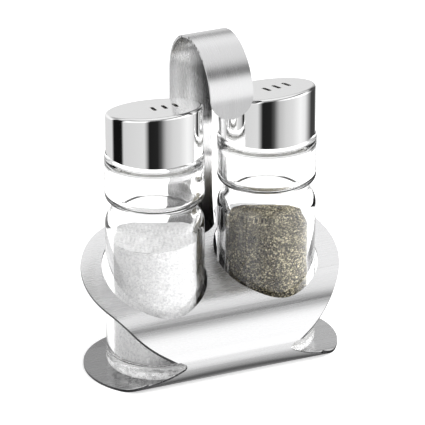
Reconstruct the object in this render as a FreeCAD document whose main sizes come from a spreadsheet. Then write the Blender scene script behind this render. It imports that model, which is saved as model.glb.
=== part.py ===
import FreeCAD, Part
import math
import os
from types import SimpleNamespace
import Sketcher

# Salt and pepper set: a one-piece bent steel holder and two screw-capped glass shakers.
# Frame: millimetres, +Z up, +X along the row of shakers, -Y is the front with the rolled bend.
# The origin is on the table, between the two shakers. Each shaker is drawn round its own axis
# with height 0 at its foot, and is then placed on the base sheet.

doc = FreeCAD.newDocument("salt_and_pepper_set")
sheet = doc.addObject("Spreadsheet::Sheet", "Sizes")

# Driving dimensions, in millimetres, degrees and counts
DIMENSIONS = {
    "sheet_thickness": 1.0,
    "shaker_spacing": 49.0,
    # flat base with two round ears, and relief cuts beside the strip's root
    "base_ear_radius": 29.4,
    "relief_radius": 1.2,
    "relief_depth": 2.0,
    # rolled front: a low bend, a leaning wall and a high bend
    "low_bend_radius": 11.2,
    "low_bend_forward": 17.9,
    "wall_angle": 62.0,
    "high_bend_radius": 16.0,
    # tilted cradle plate with a ring for each shaker
    "cradle_tilt": 24.5,
    "cradle_height": 40.4,
    "cradle_ear_radius": 30.3,
    "cradle_flank_radius": 46.5,
    "cradle_flank_start": 20.2,
    "cradle_flank_end": 25.5,
    "rear_notch_radius": 12.0,
    "rear_notch_centre": 27.0,
    "ear_tip_radius": 2.5,
    "ring_clearance": 1.3,
    "ring_setback": 0.6,
    # side notches between the cradle and the base
    "notch_radius": 1.6,
    "notch_centre_x": 24.5,
    "notch_centre_height": 10.8,
    "notch_upper_angle": 31.0,
    "notch_lower_angle": 22.0,
    "notch_bow_radius": 60.0,
    "notch_end_angle": 61.8,
    # carrying strip and its loop
    "strip_width": 18.2,
    "strip_rear_bend_radius": 3.0,
    "strip_flare_radius": 280.0,
    "strip_flare_top": 72.0,
    "loop_radius": 21.15,
    "loop_shift": 0.2,
    "loop_centre_height": 119.1,
    "tongue_end_height": 112.2,
    # glass
    "jar_radius": 20.0,
    "jar_wall": 3.1,
    "jar_floor": 5.0,
    "jar_foot_radius": 3.0,
    "jar_foot_recess": 0.8,
    "jar_foot_ring": 14.0,
    "jar_floor_radius": 2.5,
    "groove_height": 69.7,
    "groove_depth": 2.5,
    "groove_radius": 5.0,
    "shoulder_radius": 8.0,
    "collar_bulge": 0.1,
    "collar_rim_radius": 3.0,
    "collar_top": 93.5,
    "collar_top_radius": 2.2,
    "inner_groove_depth": 2.3,
    "inner_groove_radius": 8.0,
    "inner_shoulder_radius": 5.0,
    "neck_radius": 16.0,
    "neck_bore_radius": 12.6,
    "neck_length": 10.0,
    "neck_rim_radius": 0.8,
    # contents
    "fill_gap": 0.15,
    "salt_level": 57.5,
    "pepper_level": 54.9,
    # screw thread of neck and cap
    "thread_pitch": 3.2,
    "thread_turns": 1.5,
    "thread_start": 2.4,
    "thread_depth": 0.9,
    "thread_root_width": 1.1,
    "thread_crest_width": 0.5,
    "thread_clearance": 0.3,
    # cap: steel shell, plastic insert and seal ring
    "cap_radius": 19.5,
    "cap_gap": 0.4,
    "cap_height": 17.7,
    "cap_slope": 13.0,
    "cap_edge_radius": 1.2,
    "cap_wall": 0.5,
    "cap_fit_gap": 0.02,
    "insert_recess": 0.5,
    "insert_top_thickness": 1.4,
    "insert_opening_radius": 7.6,
    "seal_thickness": 1.0,
    "seal_width": 3.0,
    "slot_length": 7.5,
    "slot_width": 1.5,
    "slot_spacing": 4.7,
    "slot_row_x": 4.2,
    "slot_row_y": -0.4,
    "slot_lean": 8.0,
    "slot_count": 3,
    "salt_cap_turn": 0.0,
    "pepper_cap_turn": 9.0,
}
for row, (alias, value) in enumerate(DIMENSIONS.items(), start=1):
    sheet.set("A%d" % row, alias)
    sheet.set("B%d" % row, str(value))
    sheet.setAlias("B%d" % row, alias)
doc.recompute()


class Size:
    """A number and the formula that gives it, so that what is drawn and what is bound always agree."""

    def __init__(self, number, words):
        self.number = float(number)
        self.words = words

    def __add__(self, other):
        other = as_size(other)
        return Size(self.number + other.number, "(%s + %s)" % (self.words, other.words))

    def __sub__(self, other):
        other = as_size(other)
        return Size(self.number - other.number, "(%s - %s)" % (self.words, other.words))

    def __mul__(self, other):
        other = as_size(other)
        return Size(self.number * other.number, "(%s * %s)" % (self.words, other.words))

    def __truediv__(self, other):
        other = as_size(other)
        return Size(self.number / other.number, "(%s / %s)" % (self.words, other.words))

    def __neg__(self):
        return Size(-self.number, "(0 - %s)" % self.words)


def as_size(thing):
    """A plain number becomes a size whose formula is that number."""
    return thing if isinstance(thing, Size) else Size(thing, "(%r)" % thing)


def sine(angle):
    return Size(math.sin(math.radians(angle.number)), "sin(%s)" % angle.words)


def cosine(angle):
    return Size(math.cos(math.radians(angle.number)), "cos(%s)" % angle.words)


def tangent(angle):
    return Size(math.tan(math.radians(angle.number)), "tan(%s)" % angle.words)


def root(area):
    return Size(math.sqrt(area.number), "sqrt(%s)" % area.words)


def other_leg(long_side, leg):
    """The third side of a right triangle."""
    return root(long_side * long_side - leg * leg)


def between(start, end, share):
    """The point at this share of the way from start to end."""
    return (start[0] + (end[0] - start[0]) * share, start[1] + (end[1] - start[1]) * share)


dim = SimpleNamespace(**{alias: Size(value, "Sizes." + alias) for alias, value in DIMENSIONS.items()})
ZERO = as_size(0)
MARGIN = as_size(2)  # how far a cutting sketch reaches past what it cuts, in millimetres
LEAST_CUT = 0.01  # a cut that removes less than this many cubic millimetres has missed


# Drawing helpers

def new_body(name):
    body = doc.addObject("PartDesign::Body", name)
    body.Label = name
    return body


def new_sketch(body, name, role, lift=ZERO, tilt=None):
    """A sketch on one of the body's origin planes, lifted along its normal and tilted about the row."""
    sketch = body.newObject("Sketcher::SketchObject", name)
    plane = [feature for feature in body.Origin.OriginFeatures if feature.Role == role][0]
    sketch.AttachmentSupport = (plane, [""])
    sketch.MapMode = "FlatFace"
    angle = tilt.number if tilt else 0.0
    turn = FreeCAD.Rotation(FreeCAD.Vector(1, 0, 0), angle)
    sketch.AttachmentOffset = FreeCAD.Placement(FreeCAD.Vector(0, 0, lift.number), turn)
    sketch.setExpression(".AttachmentOffset.Base.z", lift.words)
    if tilt:
        sketch.setExpression(".AttachmentOffset.Rotation.Angle", tilt.words)
    return sketch


def constrain(sketch, size, *what):
    """Add a constraint whose value follows the sheet."""
    number = sketch.addConstraint(Sketcher.Constraint(*what, size.number))
    sketch.setExpression("Constraints[%d]" % number, size.words)


def left(radius):
    """The edge from this corner to the next is an arc that turns left."""
    return (1, as_size(radius))


def right(radius):
    """The edge from this corner to the next is an arc that turns right."""
    return (-1, as_size(radius))


def short_arc(start, end, radius):
    """The short arc that runs counter-clockwise from start to end."""
    half = (end - start) * 0.5
    reach = math.sqrt(max(radius ** 2 - half.Length ** 2, 0.0))
    centre = start + half + FreeCAD.Vector(-half.y, half.x, 0).normalize() * reach
    first = math.atan2(start.y - centre.y, start.x - centre.x)
    last = math.atan2(end.y - centre.y, end.x - centre.x)
    if last < first:
        last = last + 2 * math.pi
    return Part.ArcOfCircle(Part.Circle(centre, FreeCAD.Vector(0, 0, 1), radius), first, last)


def draw_outline(sketch, corners):
    """Close a line through corners, each (across, up) or (across, up, arc to the next corner)."""
    corners = [(as_size(c[0]), as_size(c[1]), c[2] if len(c) > 2 else None) for c in corners]
    places = [FreeCAD.Vector(across.number, up.number, 0) for across, up, _ in corners]
    edges = []
    for i, (_, _, arc) in enumerate(corners):
        start, end = places[i], places[(i + 1) % len(places)]
        if arc is None:
            edges.append((sketch.addGeometry(Part.LineSegment(start, end), False), 1, 2))
        elif arc[0] > 0:
            edges.append((sketch.addGeometry(short_arc(start, end, arc[1].number), False), 1, 2))
        else:
            edges.append((sketch.addGeometry(short_arc(end, start, arc[1].number), False), 2, 1))
    for i, (across, up, arc) in enumerate(corners):
        edge, first, last = edges[i]
        follower, follower_first, _ = edges[(i + 1) % len(edges)]
        sketch.addConstraint(Sketcher.Constraint("Coincident", edge, last, follower, follower_first))
        constrain(sketch, across, "DistanceX", edge, first)
        constrain(sketch, up, "DistanceY", edge, first)
        if arc is not None:
            constrain(sketch, arc[1], "Radius", edge)


def mirrored(half):
    """An outline that is the same left and right. half runs down the +X side, from a corner on the
    middle line or the first one beside it to the last one before the middle line."""
    on_middle = as_size(half[0][0]).number == 0
    back = []
    for i in range(len(half) - 1, 0 if on_middle else -1, -1):
        arc = half[i - 1][2:] if i > 0 else ()
        back.append((-as_size(half[i][0]), half[i][1]) + tuple(arc))
    return list(half) + back


def frame_box(sketch, reach_x, low, high):
    """A rectangle round an outline, so that a cut removes everything between the two."""
    draw_outline(sketch, [(-reach_x, low), (reach_x, low), (reach_x, high), (-reach_x, high)])


def circle(sketch, across, up, radius):
    across, up = as_size(across), as_size(up)
    centre = FreeCAD.Vector(across.number, up.number, 0)
    edge = sketch.addGeometry(Part.Circle(centre, FreeCAD.Vector(0, 0, 1), radius.number), False)
    constrain(sketch, across, "DistanceX", edge, 3)
    constrain(sketch, up, "DistanceY", edge, 3)
    constrain(sketch, radius, "Radius", edge)


def pad(body, sketch, name, length, midplane=False):
    feature = body.newObject("PartDesign::Pad", name)
    feature.Profile = sketch
    feature.Midplane = midplane
    feature.setExpression("Length", length.words)
    doc.recompute()


def pocket(body, sketch, name, length, midplane=False, along_normal=False):
    """Cut a sketch out of the body, and stop if that cuts nothing."""
    before = body.Shape.Volume
    feature = body.newObject("PartDesign::Pocket", name)
    feature.Profile = sketch
    feature.Midplane = midplane
    feature.Reversed = along_normal
    feature.setExpression("Length", length.words)
    doc.recompute()
    if not body.Shape.Volume < before - LEAST_CUT:
        raise RuntimeError("%s cuts nothing from %.1f" % (name, before))


def revolve(body, sketch, name):
    feature = body.newObject("PartDesign::Revolution", name)
    feature.Profile = sketch
    feature.ReferenceAxis = (sketch, ["V_Axis"])
    feature.Angle = 360
    doc.recompute()


# Sizes that several pieces share
axis_x = dim.shaker_spacing / 2
wide = dim.shaker_spacing * 2
strip_half = dim.strip_width / 2
strip_rear = dim.loop_radius - dim.loop_shift
strip_foot = strip_rear - dim.strip_rear_bend_radius
flare_drop = dim.strip_flare_top - dim.strip_rear_bend_radius
strip_root = strip_half + dim.strip_flare_radius - other_leg(dim.strip_flare_radius, flare_drop)


# Holder, first sheet: base, low bend, leaning wall, high bend and cradle plate

def high_bend_centre():
    """The bend's axis lies a radius below both the plate's top line and the wall's outer line."""
    tilt, wall = dim.cradle_tilt, dim.wall_angle
    plate = dim.cradle_height * cosine(tilt) - dim.high_bend_radius
    slope = dim.low_bend_forward * sine(wall) + dim.low_bend_radius * cosine(wall)
    slope = slope + dim.low_bend_radius - dim.high_bend_radius
    spread = sine(wall - tilt)
    return ((plate * cosine(wall) - slope * cosine(tilt)) / spread,
            (plate * sine(wall) - slope * sine(tilt)) / spread)


def on_bend(centre, radius, angle):
    """The point of a bend where the sheet slopes at this angle."""
    return (centre[0] - radius * sine(angle), centre[1] + radius * cosine(angle))


def sheet_side(depth):
    """The side view of the sheet at a depth below its outer face: corners, high radius, low radius."""
    tilt, wall = dim.cradle_tilt, dim.wall_angle
    high_radius = dim.high_bend_radius - depth
    low_radius = dim.low_bend_radius - depth
    low = (-dim.low_bend_forward, dim.low_bend_radius)
    rear = dim.cradle_ear_radius + MARGIN
    rear_end = (rear * cosine(tilt) + depth * sine(tilt),
                dim.cradle_height + rear * sine(tilt) - depth * cosine(tilt))
    corners = [
        rear_end,
        on_bend(high_bend_centre(), high_radius, tilt),
        on_bend(high_bend_centre(), high_radius, wall),
        on_bend(low, low_radius, wall),
        (low[0] - low_radius, low[1]),
        (low[0], depth),
        (dim.base_ear_radius + MARGIN, depth),
    ]
    return corners, high_radius, low_radius


def make_cradle():
    body = new_body("base_and_cradle")

    # The bent sheet, wider than the holder
    outer, outer_high, outer_low = sheet_side(ZERO)
    inner, inner_high, inner_low = sheet_side(dim.sheet_thickness)
    outer_arcs = [(), (left(outer_high),), (), (left(outer_low),), (left(outer_low),), (), ()]
    inner_arcs = [(), (right(inner_low),), (right(inner_low),), (), (right(inner_high),), (), ()]
    corners = [point + arc for point, arc in zip(outer, outer_arcs)]
    corners += [point + arc for point, arc in zip(reversed(inner), inner_arcs)]
    side_view = new_sketch(body, "sheet_side_view", "YZ_Plane")
    draw_outline(side_view, corners)
    pad(body, side_view, "bent_sheet", wide * 2, midplane=True)

    # The cradle's outline in its own tilted plane, down to the side notches
    ear, flank, tip = dim.cradle_ear_radius, dim.cradle_flank_radius, dim.ear_tip_radius
    upper, round_end = dim.notch_upper_angle, dim.notch_radius
    notch_run = dim.cradle_flank_end - dim.notch_centre_x + round_end * sine(upper)
    notch_level = dim.notch_centre_height + round_end * cosine(upper) + notch_run * tangent(upper)
    front = dim.low_bend_forward + dim.low_bend_radius
    depth = (dim.cradle_height - front * tangent(dim.cradle_tilt) - notch_level) * cosine(dim.cradle_tilt)
    start = dim.cradle_flank_start
    flank_centre = (axis_x + (ear - flank) * cosine(start), (flank - ear) * sine(start))
    flank_foot = flank_centre[1] - other_leg(flank, dim.cradle_flank_end - flank_centre[0])
    # The ear's rear tip is a circle that touches the ear from inside and the strip's notch from outside
    notch, notch_v = dim.rear_notch_radius, dim.rear_notch_centre
    apart = root(axis_x * axis_x + notch_v * notch_v)
    along = ((notch + tip) * (notch + tip) - (ear - tip) * (ear - tip) + apart * apart) / (apart * 2)
    aside = other_leg(notch + tip, along)
    tip_centre = ((along * axis_x + aside * notch_v) / apart,
                  notch_v + (aside * axis_x - along * notch_v) / apart)
    half = [
        (0, notch_v - notch, left(notch)),
        between((ZERO, notch_v), tip_centre, notch / (notch + tip)) + (right(tip),),
        between((axis_x, ZERO), tip_centre, ear / (ear - tip)) + (right(ear),),
        (axis_x + ear, 0, right(ear)),
        (axis_x + ear * cosine(start), -ear * sine(start), right(flank)),
        (dim.cradle_flank_end, flank_foot),
        (dim.cradle_flank_end, -wide / 2),
    ]
    plate = new_sketch(body, "cradle_outline", "XY_Plane", dim.cradle_height, dim.cradle_tilt)
    draw_outline(plate, mirrored(half))
    frame_box(plate, wide, -wide, wide / 2)
    past_notch_edge = MARGIN / 4
    pocket(body, plate, "cradle_trim", (depth + past_notch_edge) * 2, midplane=True)

    # Side notches, seen from the front: a straight upper edge, a round end and a bowed lower edge
    lower = dim.notch_lower_angle
    reach_x = axis_x + dim.base_ear_radius * cosine(dim.notch_end_angle)
    reach_y = dim.base_ear_radius * sine(dim.notch_end_angle) - dim.low_bend_forward
    reach_z = dim.low_bend_radius - other_leg(dim.low_bend_radius, reach_y)
    top = (dim.notch_centre_x - round_end * sine(upper), dim.notch_centre_height + round_end * cosine(upper))
    tip_x, tip_z = dim.notch_centre_x - round_end, dim.notch_centre_height
    foot = (dim.notch_centre_x - round_end * sine(lower), dim.notch_centre_height - round_end * cosine(lower))
    view = new_sketch(body, "notch_outline", "XZ_Plane", dim.low_bend_forward)
    draw_outline(view, [
        top + (left(round_end),),
        (tip_x, tip_z, left(round_end)),
        foot + (left(dim.notch_bow_radius),),
        (reach_x, reach_z),
        (reach_x, notch_level),
        (dim.cradle_flank_end, notch_level),
    ])
    draw_outline(view, [
        (-top[0], top[1], right(round_end)),
        (-tip_x, tip_z, right(round_end)),
        (-foot[0], foot[1], right(dim.notch_bow_radius)),
        (-reach_x, reach_z),
        (-reach_x, notch_level),
        (-dim.cradle_flank_end, notch_level),
    ])
    pocket(body, view, "notch_cut", wide, along_normal=True)

    # The base's outline, with two relief cuts beside the strip's root
    ear, slit = dim.base_ear_radius, dim.relief_radius
    relief_y = strip_foot - dim.relief_depth
    relief_out = strip_root + slit * 2
    corner = axis_x - relief_out
    roll_side = dim.notch_centre_x - round_end * 2
    half = [
        (strip_root, strip_foot),
        (strip_root, relief_y, left(slit)),
        (strip_root + slit, relief_y - slit, left(slit)),
        (relief_out, relief_y),
        (relief_out, ear - corner, right(corner)),
        (axis_x, ear, right(ear)),
        (axis_x + ear, 0, right(ear)),
        (axis_x, -ear),
        (roll_side, -ear),
        (roll_side, -front - MARGIN),
    ]
    plan = new_sketch(body, "base_outline", "XY_Plane", -MARGIN)
    draw_outline(plan, mirrored(half))
    frame_box(plan, wide, -wide, wide)
    above_notch = notch_level + MARGIN / 2
    pocket(body, plan, "base_trim", MARGIN + above_notch, along_normal=True)

    # The two rings that hold the shakers upright
    rings = new_sketch(body, "ring_outline", "XY_Plane", notch_level + MARGIN)
    for x in (-axis_x, axis_x):
        circle(rings, x, dim.ring_setback, dim.jar_radius + dim.ring_clearance)
    pocket(body, rings, "ring_cut", wide, along_normal=True)
    return body


# Holder, second sheet: the strip that rises behind the shakers, its loop and its tongue

def make_strip():
    body = new_body("carrying_strip")
    thick = dim.sheet_thickness
    loop, inside = dim.loop_radius, dim.loop_radius - thick
    loop_z, loop_y, front = dim.loop_centre_height, -dim.loop_shift, -(dim.loop_radius + dim.loop_shift)
    bend, bend_inside = dim.strip_rear_bend_radius, dim.strip_rear_bend_radius - thick
    overlap = strip_foot - dim.relief_depth / 2
    # Before its end is cut round, the tongue hangs one loop radius too low
    uncut = dim.tongue_end_height - loop
    side_view = new_sketch(body, "strip_side_view", "YZ_Plane")
    draw_outline(side_view, [
        (overlap, 0),
        (strip_foot, 0, left(bend)),
        (strip_rear, bend),
        (strip_rear, loop_z, left(loop)),
        (loop_y, loop_z + loop, left(loop)),
        (front, loop_z),
        (front, uncut),
        (front + thick, uncut),
        (front + thick, loop_z, right(inside)),
        (loop_y, loop_z + inside, right(inside)),
        (strip_rear - thick, loop_z),
        (strip_rear - thick, bend, right(bend_inside)),
        (strip_foot, thick),
        (overlap, thick),
    ])
    pad(body, side_view, "bent_strip", wide, midplane=True)

    # Seen from the front: parallel above, flaring towards the root
    above = loop_z + loop + MARGIN
    half = [
        (strip_half, above),
        (strip_half, dim.strip_flare_top, left(dim.strip_flare_radius)),
        (strip_root, bend),
        (strip_root, -MARGIN),
    ]
    view = new_sketch(body, "strip_outline", "XZ_Plane")
    draw_outline(view, mirrored(half))
    frame_box(view, wide, -MARGIN * 2, above + MARGIN)
    pocket(body, view, "strip_trim", wide, midplane=True)

    # The tongue ends in a half round
    end_z = dim.tongue_end_height + strip_half
    past = strip_half + MARGIN
    low = uncut - MARGIN
    tongue = new_sketch(body, "tongue_outline", "XZ_Plane", dim.loop_shift + MARGIN)
    draw_outline(tongue, [
        (-past, end_z),
        (-strip_half, end_z, left(strip_half)),
        (0, dim.tongue_end_height, left(strip_half)),
        (strip_half, end_z),
        (past, end_z),
        (past, low),
        (-past, low),
    ])
    pocket(body, tongue, "tongue_trim", wide, along_normal=True)
    return body


def make_holder():
    holder = doc.addObject("Part::Fuse", "holder")
    holder.Base = make_cradle()
    holder.Tool = make_strip()
    holder.Refine = True
    holder.Label = "holder"
    doc.recompute()
    return holder


# Glass jar: thick walls, a groove below the collar and a neck with a screw thread

neck_top = dim.collar_top + dim.neck_length
inner_radius = dim.jar_radius - dim.jar_wall


def groove_corners(radius, groove_x, groove_bend, low_bend, high_radius, high_bend):
    """A waist between two upright lines: where the lower bend starts, the two points where the curve
    changes side, and where the upper bend ends."""
    centre = (groove_x + groove_bend, dim.groove_height)
    low_aside = centre[0] - radius + low_bend
    low = (radius - low_bend, dim.groove_height - other_leg(groove_bend + low_bend, low_aside))
    high_aside = centre[0] - high_radius + high_bend
    high = (high_radius - high_bend, dim.groove_height + other_leg(groove_bend + high_bend, high_aside))
    return ((radius, low[1]), between(centre, low, groove_bend / (groove_bend + low_bend)),
            between(centre, high, groove_bend / (groove_bend + high_bend)), (high_radius, high[1]))


def thread(body, name, radius, depth, middle):
    """A ridge round the neck or inside the insert. A negative depth points towards the axis."""
    sink = dim.thread_depth / 4 * (1 if depth.number > 0 else -1)
    foot_half, crest_half = dim.thread_root_width / 2, dim.thread_crest_width / 2
    profile = new_sketch(body, name + "_profile", "XZ_Plane")
    corners = [
        (radius - sink, middle - foot_half),
        (radius, middle - foot_half),
        (radius + depth, middle - crest_half),
        (radius + depth, middle + crest_half),
        (radius, middle + foot_half),
        (radius - sink, middle + foot_half),
    ]
    draw_outline(profile, corners)
    helix = body.newObject("PartDesign::AdditiveHelix", name)
    helix.Profile = profile
    helix.ReferenceAxis = (profile, ["V_Axis"])
    helix.Mode = "pitch-turns-angle"
    helix.setExpression("Pitch", dim.thread_pitch.words)
    helix.setExpression("Turns", dim.thread_turns.words)
    doc.recompute()


def make_jar(name):
    body = new_body(name)
    foot, rim, collar_rim = dim.jar_foot_radius, dim.neck_rim_radius, dim.collar_top_radius
    bore, dome = dim.neck_bore_radius, inner_radius - dim.neck_bore_radius
    collar = dim.jar_radius + dim.collar_bulge
    dome_top = dim.collar_top - dim.jar_wall
    shoulder, inner_shoulder = dim.shoulder_radius, dim.inner_shoulder_radius
    outside = groove_corners(dim.jar_radius, dim.jar_radius - dim.groove_depth, dim.groove_radius,
                             shoulder, collar, dim.collar_rim_radius)
    inside = groove_corners(inner_radius, inner_radius - dim.inner_groove_depth, dim.inner_groove_radius,
                            inner_shoulder, inner_radius, inner_shoulder)
    half_section = new_sketch(body, name + "_section", "XZ_Plane")
    draw_outline(half_section, [
        (0, dim.jar_foot_recess),
        (dim.jar_foot_ring, 0),
        (dim.jar_radius - foot, 0, left(foot)),
        (dim.jar_radius, foot),
        outside[0] + (left(shoulder),),
        outside[1] + (right(dim.groove_radius),),
        outside[2] + (left(dim.collar_rim_radius),),
        outside[3],
        (collar, dim.collar_top - collar_rim, left(collar_rim)),
        (collar - collar_rim, dim.collar_top),
        (dim.neck_radius, dim.collar_top),
        (dim.neck_radius, neck_top - rim, left(rim)),
        (dim.neck_radius - rim, neck_top),
        (bore + rim, neck_top, left(rim)),
        (bore, neck_top - rim),
        (bore, dome_top, right(dome)),
        (inner_radius, dome_top - dome),
        inside[3] + (right(inner_shoulder),),
        inside[2] + (left(dim.inner_groove_radius),),
        inside[1] + (right(inner_shoulder),),
        inside[0],
        (inner_radius, dim.jar_floor + dim.jar_floor_radius, right(dim.jar_floor_radius)),
        (inner_radius - dim.jar_floor_radius, dim.jar_floor),
        (0, dim.jar_floor),
    ])
    revolve(body, half_section, name + "_glass")
    thread(body, name + "_thread", dim.neck_radius, dim.thread_depth, dim.collar_top + dim.thread_start)
    return body


def make_fill(name, level):
    body = new_body(name)
    gap = dim.fill_gap
    corner = dim.jar_floor_radius - gap
    low = dim.jar_floor + gap
    half_section = new_sketch(body, name + "_section", "XZ_Plane")
    draw_outline(half_section, [
        (0, low),
        (inner_radius - dim.jar_floor_radius, low, left(corner)),
        (inner_radius - gap, dim.jar_floor + dim.jar_floor_radius),
        (inner_radius - gap, level),
        (0, level),
    ])
    revolve(body, half_section, name + "_heap")
    return body


# Cap: a soft seal ring on the neck, a threaded plastic insert and a slotted steel shell pressed over it

seal_top = neck_top + dim.seal_thickness
cap_foot = dim.collar_top + dim.cap_gap
cap_top = cap_foot + dim.cap_height
insert_radius = dim.cap_radius - dim.cap_wall - dim.cap_fit_gap


def make_seal(name):
    body = new_body(name)
    plan = new_sketch(body, name + "_outline", "XY_Plane", neck_top)
    circle(plan, 0, 0, dim.neck_radius)
    circle(plan, 0, 0, dim.neck_radius - dim.seal_width)
    pad(body, plan, name + "_ring", dim.seal_thickness)
    return body


def make_insert(name):
    body = new_body(name)
    foot, top = cap_foot + dim.insert_recess, seal_top + dim.insert_top_thickness
    bore = dim.neck_radius + dim.thread_depth + dim.thread_clearance
    half_section = new_sketch(body, name + "_section", "XZ_Plane")
    draw_outline(half_section, [
        (bore, foot),
        (insert_radius, foot),
        (insert_radius, top),
        (0, top),
        (0, seal_top),
        (bore, seal_top),
    ])
    revolve(body, half_section, name + "_sleeve")
    opening = new_sketch(body, name + "_opening", "XY_Plane", top)
    circle(opening, dim.slot_row_x, dim.slot_row_y, dim.insert_opening_radius)
    pocket(body, opening, name + "_hole", dim.insert_top_thickness)
    start = dim.collar_top + dim.thread_start + dim.thread_pitch / 2
    thread(body, name + "_thread", bore, -dim.thread_depth, start)
    return body


def slanted_can(name, radius, foot, top, edge):
    """A round can with a slanted, rounded top. top is its height on the axis."""
    body = new_body(name)
    rise = radius * tangent(dim.cap_slope)
    plan = new_sketch(body, name + "_plan", "XY_Plane", foot)
    circle(plan, 0, 0, radius)
    pad(body, plan, name + "_can", top - foot + rise + MARGIN)
    reach = radius + MARGIN
    drop = reach * tangent(dim.cap_slope)
    above = top + drop * 2 + MARGIN
    side_view = new_sketch(body, name + "_side_view", "YZ_Plane")
    draw_outline(side_view, [
        (-reach, top + drop),
        (reach, top - drop),
        (reach, above),
        (-reach, above),
    ])
    pocket(body, side_view, name + "_slant", reach * 2, midplane=True)
    slanted = body.Tip
    rim = ["Edge%d" % n for n, line in enumerate(slanted.Shape.Edges, start=1)
           if line.BoundBox.ZMin > foot.number + MARGIN.number]
    round_over = body.newObject("PartDesign::Fillet", name + "_round")
    round_over.Base = (slanted, rim)
    round_over.setExpression("Radius", edge.words)
    doc.recompute()
    return body


def cut_slots(body, name):
    """A row of slots, each a straight slit with round ends that leans out of the cap's own front."""
    lean_x, lean_y = sine(dim.slot_lean), cosine(dim.slot_lean)
    half_width = dim.slot_width / 2
    straight = dim.slot_length / 2 - half_width
    rise = dim.cap_radius * tangent(dim.cap_slope)
    slots = new_sketch(body, name + "_slots", "XY_Plane", cap_top + rise)
    for i in range(int(DIMENSIONS["slot_count"])):
        middle = dim.slot_row_x + dim.slot_spacing * (i - (DIMENSIONS["slot_count"] - 1) / 2)
        corners = []
        # The places are shares of the straight length and the half width: along, aside and the arc after
        for along, tip, aside, arc in ((1, 0, 1, left), (1, 1, 0, left), (1, 0, -1, None),
                                       (-1, 0, -1, left), (-1, 1, 0, left), (-1, 0, 1, None)):
            length = straight * along + half_width * (tip * along)
            width = half_width * aside
            x = middle + length * lean_x + width * lean_y
            y = dim.slot_row_y + length * lean_y - width * lean_x
            corners.append((x, y) + ((arc(half_width),) if arc else ()))
        draw_outline(slots, corners)
    pocket(body, slots, name + "_slot_cut", rise * 2 + MARGIN)


def make_shell(name):
    slope_wall = dim.cap_wall / cosine(dim.cap_slope)
    outside = slanted_can(name + "_outside", dim.cap_radius, cap_foot, cap_top, dim.cap_edge_radius)
    cut_slots(outside, name)
    inside = slanted_can(name + "_inside", dim.cap_radius - dim.cap_wall, cap_foot - MARGIN,
                         cap_top - slope_wall, dim.cap_edge_radius - dim.cap_wall)
    shell = doc.addObject("Part::Cut", name)
    shell.Base = outside
    shell.Tool = inside
    shell.Label = name
    doc.recompute()
    return shell


def place(piece, x, turn=None):
    """Stand a piece of a shaker on the base sheet, turned about its own axis where it is a cap."""
    spin = turn.number if turn else 0.0
    spot = FreeCAD.Vector(x.number, 0, dim.sheet_thickness.number)
    piece.Placement = FreeCAD.Placement(spot, FreeCAD.Rotation(FreeCAD.Vector(0, 0, 1), spin))
    piece.setExpression(".Placement.Base.x", x.words)
    piece.setExpression(".Placement.Base.z", dim.sheet_thickness.words)
    if turn:
        piece.setExpression(".Placement.Rotation.Angle", turn.words)
    return piece


nodes = [make_holder()]
for flavour, x, level, turn in (("salt", -axis_x, dim.salt_level, dim.salt_cap_turn),
                                ("pepper", axis_x, dim.pepper_level, dim.pepper_cap_turn)):
    nodes.append(place(make_jar(flavour + "_jar"), x))
    nodes.append(place(make_fill(flavour + "_grains", level), x))
    nodes.append(place(make_seal(flavour + "_seal_ring"), x))
    nodes.append(place(make_insert(flavour + "_cap_insert"), x, turn))
    nodes.append(place(make_shell(flavour + "_cap_shell"), x, turn))
doc.recompute()

for thing in doc.Objects:
    if "Invalid" in thing.State or "Error" in thing.State:
        raise RuntimeError("%s did not recompute" % thing.Label)
for node in nodes:
    if node.Shape.isNull() or not node.Shape.isValid() or len(node.Shape.Solids) != 1:
        raise RuntimeError("%s is not one valid solid" % node.Label)

os.makedirs("parts", exist_ok=True)
for node in nodes:
    node.Shape.exportStep("parts/%s.step" % node.Label)
    print("%-20s %9.1f mm3" % (node.Label, node.Shape.Volume))
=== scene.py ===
# %% [markdown]
# # A salt and pepper set in a bent steel holder
# Two glass shakers with slanted steel caps stand in a holder that is cut and bent from one sheet. The
# engineering model already gives every piece its place and its size. This lesson gives each one its
# surface: brushed and polished steel, clear glass, white salt and ground pepper.

# %% Load the frame
import math

import bpy
import mathutils
import numpy as np
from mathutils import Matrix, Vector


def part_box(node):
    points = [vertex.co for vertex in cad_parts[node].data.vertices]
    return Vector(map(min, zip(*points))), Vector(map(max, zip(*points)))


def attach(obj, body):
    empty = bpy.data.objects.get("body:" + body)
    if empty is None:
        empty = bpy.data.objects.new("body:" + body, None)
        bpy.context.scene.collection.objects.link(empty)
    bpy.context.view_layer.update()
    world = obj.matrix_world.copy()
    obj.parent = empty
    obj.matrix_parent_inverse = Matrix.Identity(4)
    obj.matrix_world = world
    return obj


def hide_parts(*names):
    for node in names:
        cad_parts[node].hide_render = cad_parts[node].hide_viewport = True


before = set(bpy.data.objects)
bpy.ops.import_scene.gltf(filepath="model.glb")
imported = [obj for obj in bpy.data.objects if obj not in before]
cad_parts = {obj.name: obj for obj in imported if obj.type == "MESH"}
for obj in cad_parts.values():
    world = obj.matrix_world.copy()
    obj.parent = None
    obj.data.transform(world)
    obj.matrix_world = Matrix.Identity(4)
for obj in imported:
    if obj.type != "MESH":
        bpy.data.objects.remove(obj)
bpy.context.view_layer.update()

print("pieces:", ", ".join(sorted(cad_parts)))

# %% [markdown]
# ## The camera
# A long lens from the front left, a little above the set, keeps upright edges nearly parallel. Its
# place could be typed in as three numbers, but they would say little. Here it is worked out from facts
# that can be read off a photograph: how far it turns round the set, how high it looks from, its
# distance and the point it aims at.

# %% Camera
TURN = math.radians(23.5)
ELEVATION = math.radians(25.0)
DISTANCE = 1.786
FIELD_OF_VIEW = math.radians(5.57)
AIM_ASIDE = 0.00065
AIM_UP = 0.05676

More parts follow.
